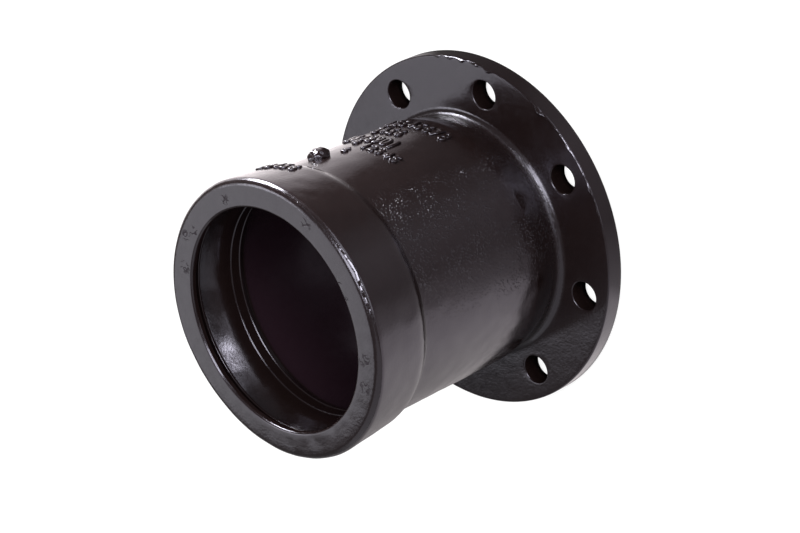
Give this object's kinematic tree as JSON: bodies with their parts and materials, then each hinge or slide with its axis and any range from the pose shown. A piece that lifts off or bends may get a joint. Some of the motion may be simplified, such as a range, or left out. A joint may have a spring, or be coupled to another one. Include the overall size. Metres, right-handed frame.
{
  "type": "flanged socket",
  "caption": "Cast iron pipe fitting with a round bolting flange at one end and a push-on gasket socket at the other.",
  "frame": {"origin": "centre of the flange's mating face, on the bore axis", "axes": "+Z along the bore axis, from the flange towards the socket's mouth; the bolt holes stand astride X and Y"},
  "size_m": [0.285, 0.285, 0.2295],
  "materials": {
    "casting": "black bitumen paint, satin, over a sand-cast skin"
  },
  "bodies": {
    "root": {"flanged_socket": "casting"}
  },
  "joints": []
}
